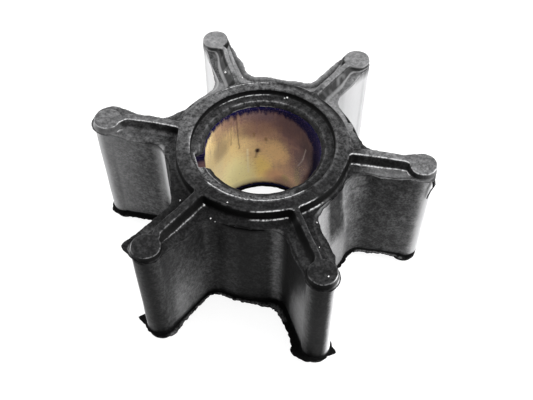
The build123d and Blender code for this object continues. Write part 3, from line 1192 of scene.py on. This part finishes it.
def brass_material():
    r = Recipe(bpy.data.materials.new("tarnished_brass"))
    place = r.place()
    x, y, z = r.add("ShaderNodeSeparateXYZ", {0: place}).outputs
    turn = r.math("ARCTAN2", x, y)
    angle = r.math("DEGREES", turn)
    arc = r.times(turn, BORE_RADIUS)
    height = r.math("DIVIDE", z, MM)
    squeezed = r.flat(arc, r.times(height, 0.12))
    wall = r.flat(arc, height)
    streak = r.noise(squeezed, 1.6, 4.0, 0.7)
    fleck = r.noise(wall, 2.2, 5.0, 0.75)
    cloud = r.noise(wall, 0.35, 4.0, 0.6)
    shake = r.add("ShaderNodeTexNoise", {"Vector": wall, "Scale": 1.3}).outputs["Color"]
    shaken = r.vector("ADD", wall, r.vector("MULTIPLY", shake, (0.4, 0.4, 0.0)))
    shaken = r.vector("SUBTRACT", shaken, (0.2, 0.2, 0.0))

    heat = r.plus(angle, r.times(r.minus(height, 9.5), 2.9))
    for unevenness, size in ((cloud, 55.0), (streak, 26.0), (fleck, 14.0)):
        heat = r.plus(heat, r.swing(unevenness, size))
    r.colour = PALE_GOLD
    for low, high, tint in TARNISH:
        r.paint(r.spread(heat, low, high), tint)
    for patch_angle, patch_height, wide, tall, tint, strength in PATCHES:
        dx = r.math("DIVIDE", r.minus(angle, patch_angle), wide)
        dz = r.math("DIVIDE", r.minus(height, patch_height), tall)
        away = r.plus(r.times(dx, dx), r.times(dz, dz))
        away = r.plus(away, r.swing(fleck, 1.6))
        r.paint(r.spread(away, 0.2, 1.2, strength, 0.0), tint)
    for start, end, half_width, tint, strength in MARKS:
        near = r.distance_to_line(shaken, on_wall(*start), on_wall(*end))
        r.paint(r.spread(near, 0.4 * half_width, 1.3 * half_width, strength, 0.0), tint)

    # drips, then the dark scale that hangs from the upper rim, climbs the right side and lines the foot
    drips = r.times(r.spread(streak, 0.52, 0.68), r.spread(height, 12.0, 20.0, 0.0, 0.6))
    r.paint(drips, ROSE)
    rim = r.plus(r.spread(angle, -58.0, -28.0, 0.55, 0.95), r.spread(angle, 5.0, 35.0, 0.0, 1.1))
    rim = r.plus(rim, r.spread(angle, 38.0, 57.0, 0.0, 2.2))
    ragged = r.swing(streak, 2.6)
    ragged = r.plus(ragged, r.swing(fleck, 1.8))
    below_top = r.minus(BUSH_TOP, height)
    stain = r.spread(r.minus(below_top, r.plus(rim, ragged)), -0.2, 0.7, 1.0, 0.0)
    right = r.plus(angle, r.spread(height, 3.0, 13.0, 22.0, 0.0))
    right = r.plus(right, r.swing(fleck, 8.0))
    stain = r.math("MAXIMUM", stain, r.spread(right, 50.0, 58.0))
    foot = r.plus(height, r.swing(fleck, 0.8))
    stain = r.math("MAXIMUM", stain, r.spread(foot, 2.3, 2.9, 1.0, 0.0))
    r.paint(r.spread(foot, 2.6, 4.2, 0.5, 0.0), MAUVE)
    r.paint(stain, NAVY)
    # the keyway's walls
    squares = r.plus(r.times(x, x), r.times(y, y))
    in_keyway = r.spread(r.math("DIVIDE", r.math("SQRT", squares), MM), *BEHIND_BORE)
    notch = r.mixed(r.spread(fleck, 0.35, 0.65), ROSE, MAUVE)
    notch = r.mixed(r.spread(foot, 19.8, 20.6), notch, NAVY)
    r.paint(in_keyway, notch)
    # fine dirt on the light parts and fine bright grains on the dark ones
    pepper = r.times(r.spread(fleck, 0.57, 0.70), 0.45)
    r.paint(pepper, ROSE)
    fine = r.noise(wall, 5.0, 3.0, 0.6)
    specks = r.times(r.spread(fine, 0.55, 0.64), r.spread(height, 9.0, 19.0, 0.0, 0.6))
    r.paint(specks, MAUVE)
    grains = r.times(r.spread(fine, 0.45, 0.36), r.spread(angle, 8.0, 24.0, 0.0, 0.45))
    grains = r.times(grains, r.spread(height, 14.0, 8.0))
    grains = r.less(grains, stain)
    r.paint(grains, GOLD)

    rough = r.plus(r.spread(fleck, 0.3, 0.7, 0.34, 0.52), r.times(stain, 0.45), clamp=True)
    lathe = r.noise(r.flat(r.times(arc, 0.05), height), 6.0, 3.0)
    relief = r.plus(r.times(lathe, 0.5), fleck)
    finish = {"Metallic": r.spread(stain, 0.0, 1.0, 0.3, 0.0), "Specular IOR Level": 0.08}
    return r.surface({"Roughness": rough, "Normal": r.bump(relief, 0.35, 0.0001)} | finish)


bush = bpy.data.objects["metal_bush"]
bush.data.materials.clear()
bush.data.materials.append(brass_material())
print("brass ready")

# %% [markdown]
# ## Lint and a torn sliver
# Rubber holds on to lint. White dots could be painted in the material, but specks sit in corners and
# catch the light from all sides, so each is a small crumpled bead, and all of them are one mesh. A
# sliver of flash that was never torn off hangs at the end of one vane.

# %% Lint
LINT_WHITE = (0.85, 0.85, 0.86)
LINT_GREY = (0.45, 0.45, 0.44)
# distance from the axis, bearing in degrees, height, size
LINT = (
    (13.9, 242.0, 21.80, 0.24),
    (15.3, 251.0, 21.75, 0.12),
    (12.7, 257.0, 23.45, 0.12),
    (17.6, 121.5, 22.60, 0.17),
    (16.4, 113.0, 21.80, 0.14),
    (10.9, 79.5, 22.95, 0.15),
    (10.8, 81.5, 22.80, 0.10),
    (16.1, 310.0, 21.80, 0.10),
    (15.8, 230.0, 21.80, 0.13),
    (25.9, 301.0, 23.45, 0.12),
    (20.1, 304.3, 21.80, 0.10),
    (15.5, 254.3, 21.75, 0.08),
)


def lint_material():
    r = Recipe(bpy.data.materials.new("lint"))
    place = r.place()
    fluff = r.noise(place, 9000.0)
    r.colour = LINT_GREY
    r.paint(r.spread(fluff, 0.3, 0.7), LINT_WHITE)
    return r.surface({"Roughness": 0.9, "Normal": r.bump(fluff, 0.5, 0.00005)})


lint_points = []
lint_faces = []
for distance, bearing, height, size in LINT:
    ball = bmesh.new()
    bmesh.ops.create_icosphere(ball, subdivisions=2, radius=size)
    middle = Vector((*turned((distance, 0.0), math.radians(bearing)), height))
    first = len(lint_points)
    for vertex in ball.verts:
        crumple = 1 + 0.5 * noise.noise(vertex.co * 9 + middle)
        lint_points.append(tuple(middle + vertex.co * crumple))
    lint_faces += [tuple(first + v.index for v in face.verts) for face in ball.faces]
    ball.free()
lint = make_piece("lint", lint_points, lint_faces)
lint.data.materials.append(lint_material())
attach(lint, "root")
print("lint specks", len(LINT))

# %% Sliver
SLIVER_LINE = (
    (26.60, -1.3, 21.7),
    (26.80, -1.7, 20.9),
    (26.50, -1.8, 20.0),
    (26.30, -1.8, 18.8),
    (26.20, -1.8, 17.8),
)
SLIVER_WIDTHS = (0.30, 0.34, 0.22, 0.16, 0.05)
SLIVER_THICK = 0.09
sliver_points = []
sliver_faces = []
for (x, y, z), half in zip(SLIVER_LINE, SLIVER_WIDTHS):
    for side, out in ((-1, -1), (1, -1), (1, 1), (-1, 1)):
        sliver_points.append((x + SLIVER_THICK * out + 0.4 * half * side, y + half * side, z))
for row in range(len(SLIVER_LINE) - 1):
    for k in range(4):
        a, b = 4 * row + k, 4 * row + (k + 1) % 4
        sliver_faces.append((a, b, b + 4, a + 4))
sliver_faces += [(3, 2, 1, 0), tuple(len(sliver_points) - 4 + k for k in range(4))]
sliver = make_piece("flash_sliver", sliver_points, sliver_faces)
sliver.data.materials.append(bpy.data.materials["moulded_rubber"])
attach(sliver, "root")
print("sliver", len(sliver_faces), "faces")

# %% [markdown]
# ## Stage and light
# A black part is drawn by what it mirrors, so the stage is white all round. The floor can't simply be
# lit until it is white, because the same light would wash out the rubber. Its material shows the
# camera, and anything that mirrors it, a nearly white glow with a little real shading on top, which
# keeps the soft shadow under the part.

# %% Floor and world
WHITE = (1.0, 1.0, 1.0)
FLOOR_GLOW = 0.91
FLOOR_SHADE = 0.22
FLOOR_SIZE = 3.0
WORLD_STRENGTH = 0.45


def seen_directly(recipe):
    """1 for the camera's own rays and for mirrored and refracted ones."""
    path = recipe.add("ShaderNodeLightPath").outputs
    seen = recipe.math("MAXIMUM", path["Is Camera Ray"], path["Is Glossy Ray"])
    return recipe.math("MAXIMUM", seen, path["Is Transmission Ray"])


def floor_material():
    r = Recipe(bpy.data.materials.new("white_floor"))
    plain = r.add("ShaderNodeBsdfDiffuse", {"Color": (0.85, 0.85, 0.85)}).outputs[0]
    shade = r.add("ShaderNodeBsdfDiffuse", {"Color": (FLOOR_SHADE,) * 3}).outputs[0]
    glow = r.add("ShaderNodeEmission", {"Color": WHITE, "Strength": FLOOR_GLOW}).outputs[0]
    shown = r.add("ShaderNodeAddShader", {0: shade, 1: glow}).outputs[0]
    mix = r.add("ShaderNodeMixShader", {0: seen_directly(r), 1: plain, 2: shown})
    return r.finish(mix.outputs[0])


def surround():
    r = Recipe(bpy.data.worlds.new("surround"), "ShaderNodeOutputWorld")
    dim = r.add("ShaderNodeBackground", {"Color": WHITE, "Strength": WORLD_STRENGTH}).outputs[0]
    bright = r.add("ShaderNodeBackground", {"Color": WHITE}).outputs[0]
    direct = r.add("ShaderNodeLightPath").outputs["Is Camera Ray"]
    return r.finish(r.add("ShaderNodeMixShader", {0: direct, 1: dim, 2: bright}).outputs[0])


bpy.ops.mesh.primitive_plane_add(size=FLOOR_SIZE)
floor = bpy.context.object
floor.name = "floor"
floor.data.materials.append(floor_material())
bpy.context.scene.world = surround()
print("floor", FLOOR_SIZE, "m square")

# %% [markdown]
# ### Soft boxes
# Each lamp is a plain rectangle whose brightness is given as radiance, where 1 is a white wall. A tall
# one behind the part greys the far tops, two low ones draw the edges of the vanes, and a small one high
# in front puts the thin light lines on every rounded edge that faces the viewer. Those lines are also
# painted into the rubber's colour as painted highlights, as is some of the grey on the far tops.

# %% Lamps
def softbox(name, place, aim, width, height, radiance):
    """A rectangle lamp, sizes in millimetres."""
    data = bpy.data.lights.new(name, "AREA")
    data.shape = "RECTANGLE"
    data.size = width * MM
    data.size_y = height * MM
    data.energy = radiance * math.pi * width * height * MM**2
    lamp = bpy.data.objects.new(name, data)
    bpy.context.scene.collection.objects.link(lamp)
    lamp.location = metres(place)
    lamp.rotation_euler = (metres(aim) - metres(place)).to_track_quat("-Z", "Y").to_euler()
    lamp.visible_camera = False
    print(name, round(data.energy, 3), "W")


softbox("back box", (0, 150, 75), (0, 0, 30), 320, 150, 3.2)
softbox("left box", (-150, 10, 40), (0, 0, 10), 160, 90, 7.0)
softbox("right box", (150, -10, 40), (0, 0, 10), 160, 90, 7.0)
softbox("top lamp", (0, 20, 200), (0, 0, 20), 80, 80, 7.0)
softbox("bore lamp", (110, -20, 130), (0, 0, 12), 40, 40, 36.0)
